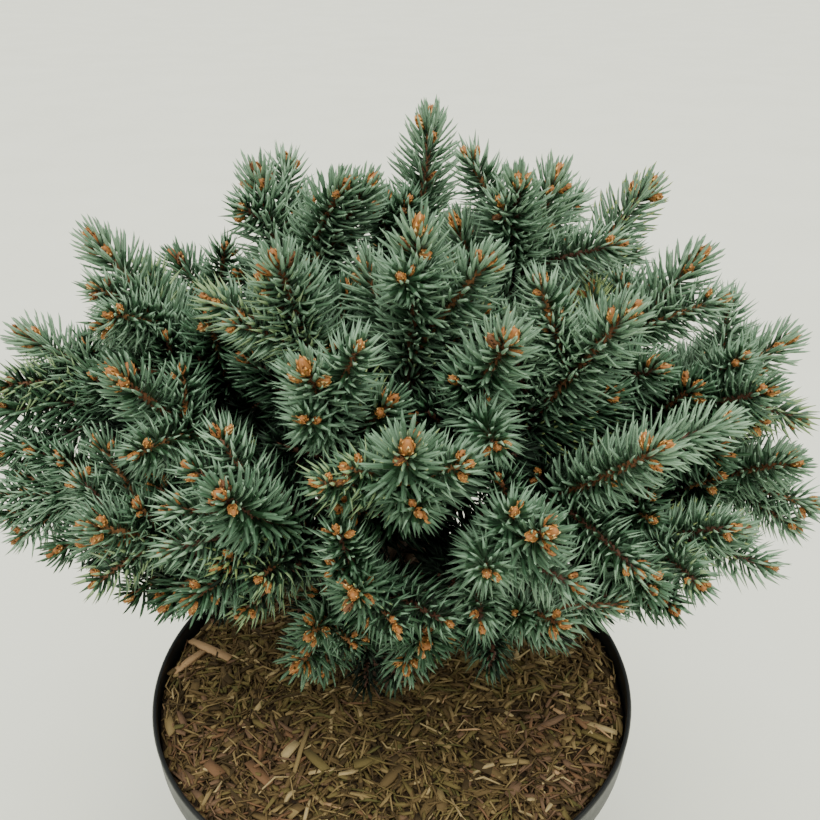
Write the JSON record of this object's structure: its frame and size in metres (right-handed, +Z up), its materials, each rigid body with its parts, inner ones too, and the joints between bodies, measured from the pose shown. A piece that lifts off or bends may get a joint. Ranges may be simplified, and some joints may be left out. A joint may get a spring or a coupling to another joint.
{
  "type": "potted dwarf blue spruce",
  "caption": "Dwarf blue spruce: a low cushion of short blue-green needled shoots with orange-brown buds on a short trunk, in a round black nursery pot of shredded bark.",
  "frame": {"origin": "centre of the pot's flat underside", "axes": "+Z up, +X to the plant's right seen from the front, +Y to its back"},
  "size_m": [0.2877, 0.2379, 0.3686],
  "materials": {
    "pot": "black moulded plastic, satin, slightly dusty",
    "mulch": "moist shredded bark, matt, brown and olive",
    "bark": "rough brown bark, orange-brown on young twigs",
    "needles": "waxy blue-green needles with a grey bloom"
  },
  "bodies": {
    "root": {"pot": "pot", "bark_mulch": "mulch", "trunk": "bark", "bough_crest_left": "bark", "bough_crest_front_left": "bark", "bough_crest_front_right": "bark", "bough_crest_right": "bark", "bough_shoulder_left": "bark", "bough_shoulder_right": "bark", "bough_shoulder_front": "bark", "bough_shoulder_back": "bark", "bough_shoulder_back_left": "bark", "bough_flank_left": "bark", "bough_flank_right": "bark", "bough_flank_back_right": "bark", "bough_side_right": "bark", "bough_side_left": "bark", "bough_skirt_back_left": "bark", "bough_skirt_back": "bark", "bough_skirt_front_right": "bark", "bough_skirt_front": "bark", "shoots_crest_left_1": "needles", "shoots_crest_left_2": "needles", "shoots_crest_front_left_1": "needles", "shoots_crest_front_left_2": "needles", "shoots_crest_front_right_1": "needles", "shoots_crest_front_right_2": "needles", "shoots_crest_right_1": "needles", "shoots_crest_right_2": "needles", "shoots_shoulder_left_1": "needles", "shoots_shoulder_left_2": "needles", "shoots_shoulder_right_1": "needles", "shoots_shoulder_right_2": "needles", "shoots_shoulder_front_1": "needles", "shoots_shoulder_front_2": "needles", "shoots_shoulder_back_1": "needles", "shoots_shoulder_back_2": "needles", "shoots_shoulder_back_left_1": "needles", "shoots_shoulder_back_left_2": "needles", "shoots_flank_left_1": "needles", "shoots_flank_left_2": "needles", "shoots_flank_right_1": "needles", "shoots_flank_right_2": "needles", "shoots_flank_back_right_1": "needles", "shoots_flank_back_right_2": "needles", "shoots_side_right_1": "needles", "shoots_side_right_2": "needles", "shoots_side_left_1": "needles", "shoots_side_left_2": "needles", "shoots_skirt_back_left_1": "needles", "shoots_skirt_back_left_2": "needles", "shoots_skirt_back_1": "needles", "shoots_skirt_back_2": "needles", "shoots_skirt_front_right_1": "needles", "shoots_skirt_front_right_2": "needles", "shoots_skirt_front_1": "needles", "shoots_skirt_front_2": "needles", "shoots_leader": "needles", "shoots_low_front_left": "needles", "shoots_low_front_right": "needles"}
  },
  "joints": []
}
